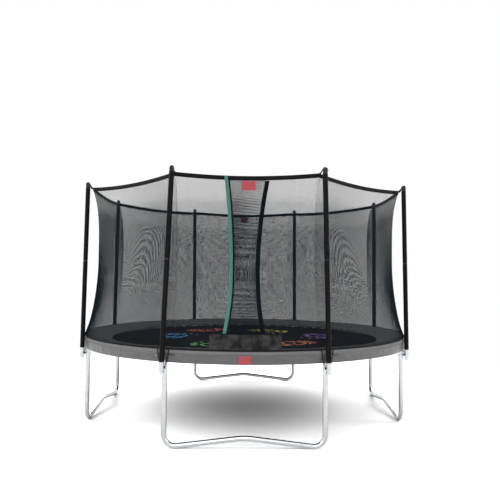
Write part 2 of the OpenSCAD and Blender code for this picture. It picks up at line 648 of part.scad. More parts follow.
// Distance out at which a cord rests on the pad's rim, y to the side of the leg
function on_rim(y) = sqrt(pow(pad_out_r + cord_r + clear, 2) - y * y);
cord_foot = clamp_zs[0] + clamp_h / 2;
module cord_run(p, q) {
    d = q - p;
    translate(p) {
        sphere(r = cord_r + 0.1, $fn = 16);
        rotate([0, acos(d.z / norm(d)), atan2(d.y, d.x)]) cylinder(h = norm(d), r = cord_r, $fn = 16);
    }
}
module tie_cords() {
    route = [
        [hem_out + hem_r + cord_r + clear, 66, hem_z + 1],
        [on_rim(62), 62, hem_z - 8],
        [on_rim(40), 40, skirt_z + 5],
        [ring_r + clamp_bolt_x + 2, 24, cord_foot + 8]];
    color(black) for (i = [0:sides - 1], s = [0, 1]) rotate([0, 0, leg_a(i)]) mirror([0, s, 0]) {
        for (n = [0:2]) cord_run(route[n], route[n + 1]);
        translate(route[3]) sphere(r = cord_d, $fn = 24);
    }
}

for (i = [0:7]) ring_segment(i);
for (k = [0:3]) leg_base(k);
for (i = [0:7]) leg_upright(i);
for (i = [0:7]) net_pole(i);
for (i = [0:7]) pole_sleeve(i);
pole_caps();
pole_clamps();
frame_bolts();
springs();
jumping_mat();
mat_webbing();
mat_rings();
pad_foam();
pad_cover();
for (i = [1:7]) net_bay(i);
net_bands();
corner_straps();
entrance_sill();
tie_cords();
outer_flap_net();
outer_flap_binding();
inner_flap_net();
inner_flap_binding();
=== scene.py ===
import math

import bmesh
import bpy
from mathutils import Matrix, Vector, noise


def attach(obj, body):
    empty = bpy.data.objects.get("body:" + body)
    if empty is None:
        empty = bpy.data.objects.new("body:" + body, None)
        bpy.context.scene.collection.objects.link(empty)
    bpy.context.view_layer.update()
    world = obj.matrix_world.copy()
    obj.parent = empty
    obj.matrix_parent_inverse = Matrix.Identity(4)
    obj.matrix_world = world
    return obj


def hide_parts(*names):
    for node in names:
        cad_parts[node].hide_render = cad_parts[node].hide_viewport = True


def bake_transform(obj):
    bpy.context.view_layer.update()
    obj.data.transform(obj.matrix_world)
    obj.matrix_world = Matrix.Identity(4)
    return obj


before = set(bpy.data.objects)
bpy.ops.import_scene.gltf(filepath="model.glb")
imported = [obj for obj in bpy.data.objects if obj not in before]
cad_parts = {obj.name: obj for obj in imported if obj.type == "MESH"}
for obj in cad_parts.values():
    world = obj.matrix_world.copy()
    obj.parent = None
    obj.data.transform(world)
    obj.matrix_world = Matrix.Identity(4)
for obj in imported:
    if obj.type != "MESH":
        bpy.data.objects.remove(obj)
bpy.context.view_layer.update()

# Camera: seven metres in front of the entrance and at chest height, so that the
# padded edge is seen a little from above and the pole caps from below.
eye = Vector((-0.0265, -7.0304, 1.5969))
lens_mm = 567.387 / 500 * 36
aim = (
    Matrix.Rotation(math.radians(-0.6646), 3, "Z")
    @ Matrix.Rotation(math.radians(2.5975), 3, "X")
    @ Matrix.Rotation(math.radians(-0.4971), 3, "Y")
)
right, forward, up = (Vector(aim.col[n]) for n in range(3))
camera = bpy.data.objects.new("camera", bpy.data.cameras.new("camera"))
camera.data.lens = lens_mm
camera.data.sensor_width = 36
camera.matrix_world = Matrix.Translation(eye) @ Matrix((right, up, -forward)).transposed().to_4x4()
bpy.context.collection.objects.link(camera)
bpy.context.scene.camera = camera

# Studio: a wide white floor in a light tent, with a large soft lamp on each side that
# reaches in under the mat's edge, and a weak one overhead.


class Value:
    """One output of a shader node. Sums, products and powers of it add their own nodes."""

    def __init__(self, finish, socket):
        self.finish, self.socket = finish, socket

    def maths(self, operation, *values):
        return self.finish.node("ShaderNodeMath", {"operation": operation}, dict(enumerate(values)))

    def __add__(self, other):
        return self.maths("ADD", self, other)

    def __sub__(self, other):
        return self.maths("SUBTRACT", self, other)

    def __rsub__(self, other):
        return self.maths("SUBTRACT", other, self)

    def __mul__(self, other):
        return self.maths("MULTIPLY", self, other)

    def __truediv__(self, other):
        return self.maths("DIVIDE", self, other)

    def __pow__(self, other):
        return self.maths("POWER", self, other)

    def __gt__(self, other):
        return self.maths("GREATER_THAN", self, other)

    def __lt__(self, other):
        return self.maths("LESS_THAN", self, other)

    def __mod__(self, other):
        return self.maths("FLOORED_MODULO", self, other)

    def __abs__(self):
        return self.maths("ABSOLUTE", self)

    __radd__, __rmul__ = __add__, __mul__

    def wave(self, length):
        """A sine of that wavelength."""
        return self.maths("SINE", self * (2 * math.pi / length))

    def held(self, low=0.0, high=1.0):
        return self.maths("MINIMUM", self.maths("MAXIMUM", self, low), high)


class Finish:
    """A material whose node tree is built from the parts that a piece's section names."""

    def __init__(self, name, **kept):
        self.material = bpy.data.materials.new(name)
        self.material.use_nodes = True
        self.tree = self.material.node_tree
        self.surface = self.tree.nodes["Principled BSDF"]
        for socket, value in kept.items():
            self.surface.inputs[socket.replace("_", " ")].default_value = value

    def node(self, kind, settings={}, sockets={}, out=0):
        made = self.tree.nodes.new(kind)
        for name, value in settings.items():
            setattr(made, name, value)
        for name, value in sockets.items():
            self.put(made.inputs[name], value)
        return Value(self, made.outputs[out])

    def put(self, socket, value):
        if isinstance(value, Value):
            self.tree.links.new(value.socket, socket)
        else:
            socket.default_value = value

    def give(self, **varying):
        for socket, value in varying.items():
            self.put(self.surface.inputs[socket.replace("_", " ")], value)

    def place(self):
        return self.node("ShaderNodeTexCoord", out="Object")

    def cloth(self):
        """Distance across and along the piece's own cloth, in metres."""
        return self.axes(self.node("ShaderNodeUVMap", {"uv_map": "cloth"}))[:2]

    def axes(self, vector):
        split = self.node("ShaderNodeSeparateXYZ", {}, {0: vector})
        return [Value(self, output) for output in split.socket.node.outputs]

    def cloud(self, scale, detail=2.0, at=None):
        """Soft noise round 0.5 with that many lumps to the metre."""
        sockets = {"Vector": at or self.place(), "Scale": scale, "Detail": detail}
        return self.node("ShaderNodeTexNoise", {}, sockets)

    def tint(self, share, low, high):
        """From colour low to colour high as share goes from 0 to 1."""
        low, high = (shade if isinstance(shade, Value) else (*shade, 1) for shade in (low, high))
        return self.node("ShaderNodeMix", {"data_type": "RGBA"}, {0: share, 6: low, 7: high}, out=2)

    def relief(self, height, depth, strength=1.0):
        """Normal of a surface that rises by depth where height is 1."""
        sockets = {"Height": height, "Distance": depth, "Strength": strength}
        return self.node("ShaderNodeBump", {}, sockets)


def piece(name, made, finishes, smooth=True):
    """Turns a finished bmesh into an object of that name."""
    mesh = bpy.data.meshes.new(name)
    made.to_mesh(mesh)
    made.free()
    mesh.polygons.foreach_set("use_smooth", [smooth] * len(mesh.polygons))
    for finish in finishes:
        mesh.materials.append(finish.material)
    shown = bpy.data.objects.new(name, mesh)
    bpy.context.collection.objects.link(shown)
    return shown


floor_white = Finish("floor_white", Roughness=0.9, Specular_IOR_Level=0.0)
floor_white.give(Base_Color=floor_white.tint(floor_white.cloud(0.8), (0.93, 0.93, 0.93), (0.95, 0.95, 0.95)))
looked_at = floor_white.node("ShaderNodeLightPath")
x, y, z = floor_white.axes(floor_white.place())
# only the camera sees the second white, a painted pool of light that is brightest near the legs, where it
# also lifts the trampoline's shadow, and evens out far away
far_away = (((x * x + y * y) ** 0.5 - 3.0) / 2.5).held()
white = floor_white.tint(far_away, (2.0, 2.0, 2.0), (0.83, 0.83, 0.83))
painted_light_floor = floor_white.node("ShaderNodeBsdfDiffuse", {}, {"Color": white})
plain = Value(floor_white, floor_white.surface.outputs[0])
seen_white = floor_white.node("ShaderNodeMixShader", {}, {0: looked_at, 1: plain, 2: painted_light_floor})
floor_white.put(floor_white.tree.nodes["Material Output"].inputs["Surface"], seen_white)
ground = bmesh.new()
bmesh.ops.create_circle(ground, cap_ends=True, segments=96, radius=120)
ground = piece("floor", ground, [floor_white])

tent = bpy.data.worlds.new("tent")
bpy.context.scene.world = tent
tent.use_nodes = True
rays = tent.node_tree.nodes.new("ShaderNodeLightPath")
seen = tent.node_tree.nodes.new("ShaderNodeMath")
seen.operation = "ADD"
seen_too = tent.node_tree.nodes.new("ShaderNodeMath")
seen_too.operation, seen_too.use_clamp = "ADD", True
strength = tent.node_tree.nodes.new("ShaderNodeMapRange")
strength.inputs["To Min"].default_value = 0.5
strength.inputs["To Max"].default_value = 1.0
for a, b in (
    (rays.outputs["Is Camera Ray"], seen.inputs[0]),
    (rays.outputs["Is Glossy Ray"], seen.inputs[1]),
    (seen.outputs[0], seen_too.inputs[0]),
    (rays.outputs["Is Transmission Ray"], seen_too.inputs[1]),
    (seen_too.outputs[0], strength.inputs["Value"]),
    (strength.outputs["Result"], tent.node_tree.nodes["Background"].inputs["Strength"]),
):
    tent.node_tree.links.new(a, b)
tent.node_tree.nodes["Background"].inputs["Color"].default_value = (1, 1, 1, 1)

for name, towards, power, spread in (
    ("lamp_above", (0.05, 0.05, -1), 0.1, 60),
    ("lamp_left", (1, 0.1, -0.73), 1.4, 30),
    ("lamp_right", (-1, 0.1, -0.73), 1.0, 30),
    ("lamp_front", (0.1, 1, -0.73), 0.5, 30),
    ("lamp_back", (0, -1, -0.73), 0.9, 30),
):
    lamp = bpy.data.objects.new(name, bpy.data.lights.new(name, "SUN"))
    lamp.data.energy = power
    lamp.data.angle = math.radians(spread)
    lamp.rotation_euler = Vector(towards).to_track_quat("-Z", "Y").to_euler()
    bpy.context.collection.objects.link(lamp)
bpy.context.scene.view_settings.view_transform = "Standard"

# Ring, W bases, uprights, pole tubes and clamps: cold-formed steel tube and strip,
# hot-dip galvanised after bending, so the zinc shows faint crystals and a soft shine.
steel = Finish("galvanised_steel", Metallic=1.0)
crystals = steel.axes(
    steel.node("ShaderNodeTexVoronoi", {}, {"Vector": steel.place(), "Scale": 70.0}, out="Color")
)[0]
streaks = steel.cloud(9.0, 4.0)
zinc_share = (crystals * 0.4 + streaks * 0.6).held()
steel.give(
    Base_Color=steel.tint(zinc_share, (0.58, 0.60, 0.62), (0.80, 0.82, 0.84)),
    Roughness=0.16 + zinc_share * 0.14,
    Normal=steel.relief(steel.cloud(160.0, 2.0) * 0.6 + crystals * 0.4, 0.00004, 0.5),
)


def dress(finish, *nodes):
    """Gives CAD nodes their finish."""
    for node in nodes:
        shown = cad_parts[node]
        if not shown.material_slots:
            shown.data.materials.append(finish.material)
        for held in shown.material_slots:
            held.material = finish.material


dress(steel, *(f"ring_segment_{n}" for n in range(1, 9)))
dress(steel, *(f"leg_base_{side}" for side in ("front", "right", "back", "left")))
dress(steel, *(f"leg_upright_{n}" for n in range(1, 9)), *(f"net_pole_{n}" for n in range(1, 9)))
dress(steel, "pole_clamps")

# Clamp bolts, joint screws and mat rings: small steel parts with a bright zinc plating,
# dulled a little where hands and spanners have been.
zinc = Finish("bright_zinc", Metallic=1.0)
handled = zinc.cloud(60.0, 3.0)
zinc.give(
    Base_Color=zinc.tint(handled, (0.55, 0.56, 0.57), (0.80, 0.81, 0.80)),
    Roughness=0.22 + handled * 0.2,
    Normal=zinc.relief(zinc.cloud(400.0), 0.0001, 0.4),
)
dress(zinc, "frame_bolts", "mat_rings")

# Pole sleeves: closed-cell foam tube in two lengths, shrunk into a black vinyl skin that
# wrinkles a little across the pole and ends in a rolled edge.
ring_r, ring_z, tube_r = 1.873, 0.859, 0.025
pole_out, pole_lean = 1.938, 0.030
pole_foot_z, pole_head_z, pole_joint_z = 0.690, 2.578, 1.748
sleeve_r, sleeve_bore_r, sleeve_z = 0.025, 0.0193, 0.800
sleeve_roll = 0.0022  # how far the skin is drawn in at a sleeve's ends
pulls = (0.065, -0.030, 0.020, -0.035, 0.0, 0.025, 0.0, -0.020)


def middle_angle(i):
    return math.radians(-112.5 + 45 * i)


def leg_angle(i):
    return middle_angle(i) + math.radians(-1 if i % 2 == 0 else 1)


def net_angle(i):
    return middle_angle(i) + math.radians(0.9 if i % 2 == 0 else -0.9)


def polar(r, a, z=0.0):
    return Vector((r * math.cos(a), r * math.sin(a), z))


def pole_ends(i):
    a = leg_angle(i)
    head = polar(pole_out - pole_lean, a, pole_head_z) + Vector((-math.sin(a), math.cos(a), 0)) * pulls[i]
    return polar(pole_out, a, pole_foot_z), head


def on_pole(i, facing=None):
    """Stands on pole i: +Z up from its foot, +X away from the mat or along the angle given."""
    foot, head = pole_ends(i)
    run = head - foot
    swing = math.atan2(run.y, run.x)
    tilt = math.acos(run.z / run.length)
    facing = leg_angle(i) if facing is None else facing
    return (
        Matrix.Translation(foot)
        @ Matrix.Rotation(swing, 4, "Z")
        @ Matrix.Rotation(tilt, 4, "Y")
        @ Matrix.Rotation(facing - swing, 4, "Z")
    )


def cover(made, across, along, point, rolled=False, capped=False, size=None, material=0):
    """A sheet of across by along faces, its corners at point(u, v). rolled closes it to a tube."""
    cloth = made.loops.layers.uv["cloth"]
    verts = bmesh.ops.create_grid(made, x_segments=across, y_segments=along, size=0.5)["verts"]
    places = {v: (v.co.x + 0.5, v.co.y + 0.5) for v in verts}
    wide, long = size or (1.0, 1.0)
    faces = {f for v in verts for f in v.link_faces}
    for face in faces:
        face.material_index = material
        for corner in face.loops:
            u, v = places[corner.vert]
            corner[cloth].uv = (u * wide, v * long)
    for v, (s, t) in places.items():
        v.co = point(s, t)
    if rolled:
        bmesh.ops.remove_doubles(made, verts=verts, dist=0.000002)
        if capped:
            left = [v for v in verts if v.is_valid]
            rims = {e for v in left for e in v.link_edges if e.is_boundary}
            bmesh.ops.holes_fill(made, edges=list(rims), sides=0)
    return faces


def new_mesh():
    made = bmesh.new()
    made.loops.layers.uv.new("cloth")
    return made


def closed(made):
    """Points every face of a closed form outwards."""
    bmesh.ops.recalc_face_normals(made, faces=made.faces)
    return made


vinyl = Finish("sleeve_vinyl", Specular_IOR_Level=0.09)
rub = vinyl.cloud(22.0, 3.0)
vinyl.give(
    Base_Color=vinyl.tint(rub, (0.003, 0.003, 0.0035), (0.008, 0.008, 0.009)),
    Roughness=0.30 + rub * 0.16,
    Normal=vinyl.relief(vinyl.cloud(120.0, 3.0), 0.0006, 0.5),
)
for i in range(8):
    stand = on_pole(i)
    pole_len = (pole_ends(i)[1] - pole_ends(i)[0]).length
    made = new_mesh()
    for low, high in (
        (sleeve_z - pole_foot_z, pole_joint_z - pole_foot_z),
        (pole_joint_z - pole_foot_z + 0.001, pole_len - 0.018),
    ):

        def sleeve_point(u, v):
            # out along the skin, round the rolled ends and back along the bore
            a = 2 * math.pi * u
            t = v * 1.12 - 0.06
            z = low + (high - low) * min(max(t, 0), 1)
            if t < 0 or t > 1:
                inset = min(abs(t if t < 0 else t - 1) / 0.06, 1)
                end_r = sleeve_r - sleeve_roll
                return stand @ polar(end_r - (end_r - sleeve_bore_r) * inset, a, z)
            edge = min(z - low, high - z)
            r = sleeve_r - sleeve_roll * math.exp(-edge / 0.004)
            crease = noise.noise(Vector((math.cos(a) * 1.3, math.sin(a) * 1.3, z * 38 + 9 * i)))
            r -= 0.0009 * max(crease, 0) * min(edge / 0.03, 1)
            return stand @ polar(r, a, z)

        cover(made, 20, 84, sleeve_point, rolled=True, size=(0.157, high - low))
    sleeve = piece(f"foam_sleeve_{i + 1}", closed(made), [vinyl])
    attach(sleeve, "frame")
    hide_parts(f"pole_sleeve_{i + 1}")

# Pole caps: bullet-shaped plugs of injection-moulded black plastic with a lug on the
# outer side, pushed over the ends of the pole tubes.
moulded = Finish("moulded_plastic", Specular_IOR_Level=0.3)
flow = moulded.cloud(30.0, 2.0)
moulded.give(
    Base_Color=moulded.tint(flow, (0.010, 0.010, 0.011), (0.018, 0.018, 0.020)),
    Roughness=0.26 + flow * 0.1,
    Normal=moulded.relief(moulded.cloud(900.0, 1.0), 0.0001, 0.5),
)
dress(moulded, "pole_caps")

# Springs: 72 extension springs of zinc-plated 4 mm wire, wound close, with a long hook
# over a mat ring and a short one in the ring tube. Three neighbours share a piece.
wire = Finish("spring_wire", Metallic=1.0)
plating = wire.cloud(35.0, 3.0)
wire.give(
    Base_Color=wire.tint(plating, (0.50, 0.51, 0.52), (0.74, 0.75, 0.75)),
    Roughness=0.24 + plating * 0.16,
    Normal=wire.relief(wire.cloud(500.0), 0.00008, 0.4),
)
mat_r, mat_z, mat_t = 1.615, 0.848, 0.002
webbing_t, mat_ring_t = 0.0024, 0.003
wire_r, spring_r = 0.002, 0.010
hook_r, out_hook_r = 0.0049, 0.005
spring_neck, spring_cone = 0.022, 0.012
clear = 0.0003  # gap between pieces that rest against each other
ring_plane = mat_z - mat_t - webbing_t - mat_ring_t / 2 - clear
hook_in_r, hook_in_z = mat_r + 0.017, ring_plane + hook_r
hook_out_r = ring_r - math.sqrt(0.023**2 - 0.000009) + wire_r - out_hook_r + 0.0004
hook_out_z = ring_z + 0.009
slope = math.atan2(hook_out_z - hook_in_z, hook_out_r - hook_in_r)
spring_len = (hook_out_r - hook_in_r) / math.cos(slope)


def tube(made, path, r, sides, size=1.0):
    """A round bar of radius r through the points of path, closed at both ends."""
    steps = len(path) - 1
    side = (path[1] - path[0]).orthogonal().normalized()
    rings = []
    for n, point in enumerate(path):
        along = (path[min(n + 1, steps)] - path[max(n - 1, 0)]).normalized()
        side = (side - along * side.dot(along)).normalized()
        rings.append((point, side, along.cross(side)))

    def skin(u, v):
        point, a, b = rings[round(v * steps)]
        turn = 2 * math.pi * u
        return point + (a * math.cos(turn) + b * math.sin(turn)) * r

    cover(made, sides, steps, skin, rolled=True, capped=True, size=(2 * math.pi * r, size))


def spring_path():
    def arc(x, z, r, start, end, steps):
        for n in range(steps + 1):
            a = start + (end - start) * n / steps
            yield Vector((x + r * math.sin(a), 0, z + r * math.cos(a)))

    path = [Vector((-hook_r, 0, -hook_r - 0.004))]
    path += list(arc(0, -hook_r, hook_r, -math.pi / 2, 0, 5))
    path.append(Vector((spring_neck - 0.004, 0, 0)))
    coil_from, coil_to = spring_neck + spring_cone / 2, spring_len - spring_neck - spring_cone / 2
    turns, steps = 39, 8
    for n in range(turns * steps + 1):
        t = n / (turns * steps)
        x = coil_from + (coil_to - coil_from) * t
        near = min(t, 1 - t) * turns
        r = spring_r * (0.35 + 0.65 * min(near / 2, 1))
        a = 2 * math.pi * n / steps
        path.append(Vector((x, r * math.sin(a), r * math.cos(a))))
    path.append(Vector((spring_len - spring_neck + 0.004, 0, 0)))
    path += list(arc(spring_len, -out_hook_r, out_hook_r, 0, math.pi / 2, 5))
    path.append(Vector((spring_len + out_hook_r, 0, -out_hook_r - 0.005)))
    return path


wound = spring_path()
per_segment = 9
for group in range(24):
    made = new_mesh()
    for n in range(3 * group, 3 * group + 3):
        a = middle_angle(0) - math.radians(22.5) + math.radians(45) * (n + 0.5) / per_segment
        seat = (
            Matrix.Rotation(a, 4, "Z")
            @ Matrix.Translation((hook_in_r, 0, hook_in_z))
            @ Matrix.Rotation(-slope, 4, "Y")
        )
        tube(made, [seat @ p for p in wound], wire_r, 5)
        if n % 3 == 1:
            heading = a
    coils = piece(f"springs_{group + 1}", closed(made), [wire])
    tuple(polar(1.640, heading))
    tuple(polar(1.838, heading))
    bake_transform(coils)
    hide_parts("springs")

# Jumping mat: woven polypropylene, black and UV-proof, cut as a disc and drawn tight,
# with two rows of light stitching through the webbing under its edge.
weave = Finish("mat_weave", Specular_IOR_Level=0.02)
x, y, z = weave.axes(weave.place())
from_middle = (x * x + y * y) ** 0.5
warp = x.wave(0.0045) * y.wave(0.0045)
scuff = weave.cloud(5.0, 4.0)
stitch_line = (abs(from_middle - 1.604) < 0.0009) + (abs(from_middle - 1.572) < 0.0009)
around = y.maths("ARCTAN2", y, x) * 1.6
stitches = stitch_line * (around.wave(0.007) > -0.3)
weave.give(
    Base_Color=weave.tint(
        (stitches * 0.9 + scuff * 0.14).held(), (0.003, 0.003, 0.0035), (0.050, 0.050, 0.053)
    ),
    Roughness=0.7 + scuff * 0.2,
    Normal=weave.relief(warp * 0.5 + 0.5, 0.0006, 0.6),
)
made = new_mesh()


def mat_point(top):
    def point(u, v):
        r = mat_r * v
        dip = -0.004 * (1 - v * v)
        return polar(r, 2 * math.pi * u, (mat_z if top else mat_z - mat_t) + dip)

    return point


cover(made, 120, 24, mat_point(True), rolled=True, size=(10, 1.6))
cover(made, 120, 24, mat_point(False), rolled=True, size=(10, 1.6))
bmesh.ops.remove_doubles(made, verts=made.verts, dist=0.00001)
rims = [e for e in made.edges if e.is_boundary]
bmesh.ops.bridge_loops(made, edges=rims)
bed_cloth = piece("mat_cloth", closed(made), [weave])
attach(bed_cloth, "bed")
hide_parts("jumping_mat")

# Webbing: polyester strap folded round the mat's edge and sewn to it, which holds the
# wide bars of the mat rings in its fold.
strap_weave = Finish("webbing_weave", Specular_IOR_Level=0.08)
across, along = strap_weave.cloth()
rib = (across + abs((along % 0.012) - 0.006)).wave(0.0022)
strap_weave.give(
    Base_Color=strap_weave.tint(strap_weave.cloud(40.0, 3.0), (0.004, 0.004, 0.005), (0.011, 0.011, 0.012)),
    Roughness=0.6 + rib * 0.08,
    Normal=strap_weave.relief(rib * 0.5 + 0.5, 0.0005, 0.6),
)
webbing_w = 0.050
fold_top = mat_z - mat_t - 0.0005
fold_low = ring_plane - mat_ring_t / 2 - clear - webbing_t
fold_in = mat_r - webbing_w
fold = [
    (mat_r, fold_low),
    (mat_r, fold_low + webbing_t),
    (fold_in + webbing_t, fold_low + webbing_t),
    (fold_in + webbing_t, fold_top - webbing_t),
    (mat_r, fold_top - webbing_t),
    (mat_r, fold_top),
    (fold_in + 0.001, fold_top),
    (fold_in, fold_top - 0.001),
    (fold_in, fold_low + 0.001),
    (fold_in + 0.001, fold_low),
]
made = new_mesh()
cloth = made.loops.layers.uv["cloth"]
corners = [made.verts.new((r, 0, z)) for r, z in fold]
edges = [made.edges.new((corners[n - 1], corners[n])) for n in range(len(corners))]
bmesh.ops.spin(
    made, geom=corners + edges, axis=(0, 0, 1), cent=(0, 0, 0), angle=2 * math.pi, steps=180, use_merge=True
)
for face in made.faces:
    for corner in face.loops:
        p = corner.vert.co
        corner[cloth].uv = (math.hypot(p.x, p.y) + p.z, math.atan2(p.y, p.x) * mat_r)
webbing = piece("mat_webbing_fold", closed(made), [strap_weave], smooth=False)
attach(webbing, "bed")
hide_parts("mat_webbing")

# Print on the mat: six numbered spots to jump to, each a ring, three arcs and a trail of
# dots in one ink, rolled on to the weave so thinly that its ribs show through.
print_z = mat_z + 0.0003
spots = (
    ("yellow", (0.86, 0.70, 0.04), 0.80, 66),
    ("purple", (0.34, 0.10, 0.62), 0.92, 8),
    ("orange", (0.88, 0.22, 0.03), 0.84, -50),
    ("green", (0.10, 0.56, 0.08), 0.90, -112),
    ("blue", (0.02, 0.38, 0.82), 0.86, 176),
    ("red", (0.78, 0.05, 0.03), 0.94, 122),
)


def print_ring(made, middle, r, w, start=0.0, sweep=2 * math.pi, steps=40):
    def point(u, v):
        a = start + sweep * u
        return middle + Vector(((r + w * v) * math.cos(a), (r + w * v) * math.sin(a), 0))

    cover(made, steps, 1, point, rolled=True)


for number, (colour, ink_rgb, r, degrees) in enumerate(spots, 1):
    ink = Finish(f"ink_{colour}")
    x, y, z = ink.axes(ink.place())
    worn = ink.cloud(60.0, 3.0)
    ink.give(
        Base_Color=ink.tint((worn * 1.3 - 0.15).held(), tuple(c * 0.45 for c in ink_rgb), ink_rgb),
        Roughness=0.45 + worn * 0.2,
        Normal=ink.relief(x.wave(0.0045) * y.wave(0.0045) * 0.5 + 0.5, 0.0006, 0.6),
    )
    a = math.radians(degrees)
    spot = polar(r, a, print_z)
    made = new_mesh()
    print_ring(made, spot, 0.118, 0.036)
    for n in range(3):
        arc_from, arc_sweep = a + 0.5 + 0.25 * n, 1.9 - 0.5 * n
        print_ring(made, spot, 0.180 + 0.046 * n, 0.024 - 0.004 * n, arc_from, arc_sweep)
    for n in range(5):
        dot = spot + polar(0.215 + 0.020 * n, a - 1.1 - 0.36 * n)
        print_ring(made, dot, 0.0, 0.046 - 0.007 * n, steps=24)
    bmesh.ops.recalc_face_normals(made, faces=made.faces)
    for face in made.faces:
        if face.normal.z < 0:
            face.normal_flip()
    mark = piece(f"mat_spot_{number}", made, [ink], smooth=False)
    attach(mark, "bed")
    figure = bpy.data.curves.new(f"figure_{number}", "FONT")
    figure.body, figure.size, figure.align_x, figure.align_y = str(number), 0.17, "CENTER", "CENTER"
    text = bpy.data.objects.new(f"figure_{number}", figure)
    bpy.context.collection.objects.link(text)
    flat = bpy.data.meshes.new_from_object(text.evaluated_get(bpy.context.evaluated_depsgraph_get()))
    bpy.data.objects.remove(text)
    flat.transform(Matrix.Translation(spot))
    flat.materials.clear()
    flat.materials.append(ink.material)
    digit = bpy.data.objects.new(f"mat_number_{number}", flat)
    bpy.context.collection.objects.link(digit)
    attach(digit, "bed")

# Padded edge: a ring of soft foam, wedge-shaped and crowned, sealed in grey coated
# fabric, lying on the ring tube and the springs. It is sewn in eight lengths.
coated = Finish("coated_fabric", Specular_IOR_Level=0.05)
patches = coated.cloud(7.0, 4.0)
grain = coated.cloud(350.0, 2.0)
x, y, z = coated.axes(coated.place())
# painted light and shade: the one grey fabric is painted lighter on the rim outside the net's hem, where the
# light falls on it, and darker on the top inside the net, which lies in the net's shade
rim = (x * x + y * y) ** 0.5 > 1.8945
coated.give(
    Base_Color=coated.tint(
        patches,
        coated.tint(rim, (0.055, 0.055, 0.056), (0.150, 0.150, 0.152)),
        coated.tint(rim, (0.120, 0.120, 0.122), (0.225, 0.225, 0.228)),
    ),
    Roughness=0.55 + patches * 0.16,
    Normal=coated.relief(coated.cloud(22.0, 4.0) * 0.9 + grain * 0.1, 0.010, 0.6),
)
cover_t, pad_drop = 0.0015, 0.028
pad_out_r = ring_r + tube_r + 0.0055 + cover_t
pad_in_r = pad_out_r - 0.320
pad_seat = ring_z + tube_r + clear


def pad_under(r):
    inner = ring_r - tube_r
    return pad_seat - pad_drop * max(0, inner - r) / (inner - pad_in_r)


def pad_top(r):
    s = max(0, (r - pad_in_r) / (pad_out_r - pad_in_r))
    return pad_under(r) + 0.012 + 0.012 * s + 0.026 * math.sin(math.pi * s**1.5)


# the crown from the inner edge outwards, round the rim, then back along the flat underside
crown_steps = 26
crown = [pad_in_r + (pad_out_r - 0.010 - pad_in_r) * n / crown_steps for n in range(crown_steps + 1)]
pad_outline = [(r, pad_top(r)) for r in crown]
pad_outline[0] = (pad_in_r + 0.001, pad_under(pad_in_r) + 0.010)
pad_outline += [(1.9000, 0.9085), (1.9035, 0.9035), (1.9048, 0.896)]
pad_outline += [(1.9048, 0.888), (1.9030, 0.880), (1.8985, 0.8765)]
pad_outline += [(1.885, pad_seat), (ring_r - tube_r, pad_seat)]
pad_outline += [(r, pad_under(r)) for r in (1.75, 1.66)]
pad_outline += [(pad_in_r + 0.004, pad_under(pad_in_r)), (pad_in_r, pad_under(pad_in_r) + 0.004)]
made = new_mesh()
cloth = made.loops.layers.uv["cloth"]
corners = [made.verts.new((r, 0, z)) for r, z in pad_outline]
edges = [made.edges.new((corners[n - 1], corners[n])) for n in range(len(corners))]
bmesh.ops.spin(
    made, geom=corners + edges, axis=(0, 0, 1), cent=(0, 0, 0), angle=2 * math.pi, steps=480, use_merge=True
)
for v in made.verts:
    a, r = math.atan2(v.co.y, v.co.x), math.hypot(v.co.x, v.co.y)
    if v.co.z < pad_top(min(r, pad_out_r - 0.010)) - 0.004 and r < 1.897:
        continue
    lump = noise.noise(Vector((math.cos(a) * 7, math.sin(a) * 7, r * 6)))
    crease = noise.noise(Vector((math.cos(a) * 34, math.sin(a) * 34, r * 9)))
    seam_off = abs((math.degrees(a) + 112.5) % 45 - 22.5) - 22.5
    pinch = math.exp(-((math.radians(seam_off) * r / 0.012) ** 2))
    if r > 1.897:
        v.co.xy = v.co.xy.normalized() * (r - 0.0016 * abs(crease) - 0.002 * pinch)
    else:
        loose = min(1, max(0.3, (1.885 - r) / 0.03))
        v.co.z += (0.0050 * lump + 0.0028 * crease) * loose - 0.006 * pinch
for face in made.faces:
    for corner in face.loops:
        p = corner.vert.co
        corner[cloth].uv = (math.hypot(p.x, p.y) + p.z, math.atan2(p.y, p.x) * ring_r)
pad = piece("padded_edge", closed(made), [coated])
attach(pad, "frame")
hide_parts("pad_foam", "pad_cover")

# Skirt: a strip of the same coated fabric sewn under the rim with a flat seam. It hangs
# over the ring tube, puckered by its seam and drawn in by the ties at each pole.
skirt_cloth = Finish("skirt_fabric", Coat_Weight=0.3, Coat_Roughness=0.25)
shades = skirt_cloth.cloud(9.0, 4.0)
x, y, z = skirt_cloth.axes(skirt_cloth.place())
hem_line = abs(z - 0.8035) < 0.0006
skirt_cloth.give(
    Base_Color=skirt_cloth.tint(
        (shades - hem_line * 0.4).held(), (0.080, 0.080, 0.081), (0.130, 0.130, 0.132)
    ),
    Roughness=0.32 + shades * 0.16,
    Normal=skirt_cloth.relief(skirt_cloth.cloud(17.0, 4.0), 0.022, 0.7),
)
skirt_r, skirt_z, skirt_seam_z = 1.9035, 0.795, 0.876


def skirt_point(u, v):
    a = 2 * math.pi * u
    z = skirt_seam_z + 0.002 - (skirt_seam_z + 0.002 - skirt_z) * v
    fold = noise.noise(Vector((math.cos(a) * 11, math.sin(a) * 11, 3 + v * 0.9)))
    slant = a + 0.03 * v * math.sin(9 * a)
    pucker = 1 - abs(noise.noise(Vector((math.cos(slant) * 30, math.sin(slant) * 30, v * 1.6)))) * 2
    near_pole = min(abs((math.degrees(a - leg_angle(i)) + 180) % 360 - 180) for i in range(8))
    drawn = math.exp(-((near_pole / 2.6) ** 2))
    wrinkle = 0.008 * abs(fold) + 0.0045 * max(pucker, 0) ** 4 * (1.2 - 0.5 * v)
    r = skirt_r - 0.002 * v - wrinkle * min(1, 3 * v) - 0.004 * drawn * v
    return polar(r, a, z + 0.002 * drawn * v * noise.noise(Vector((a * 30, 1, 1))))


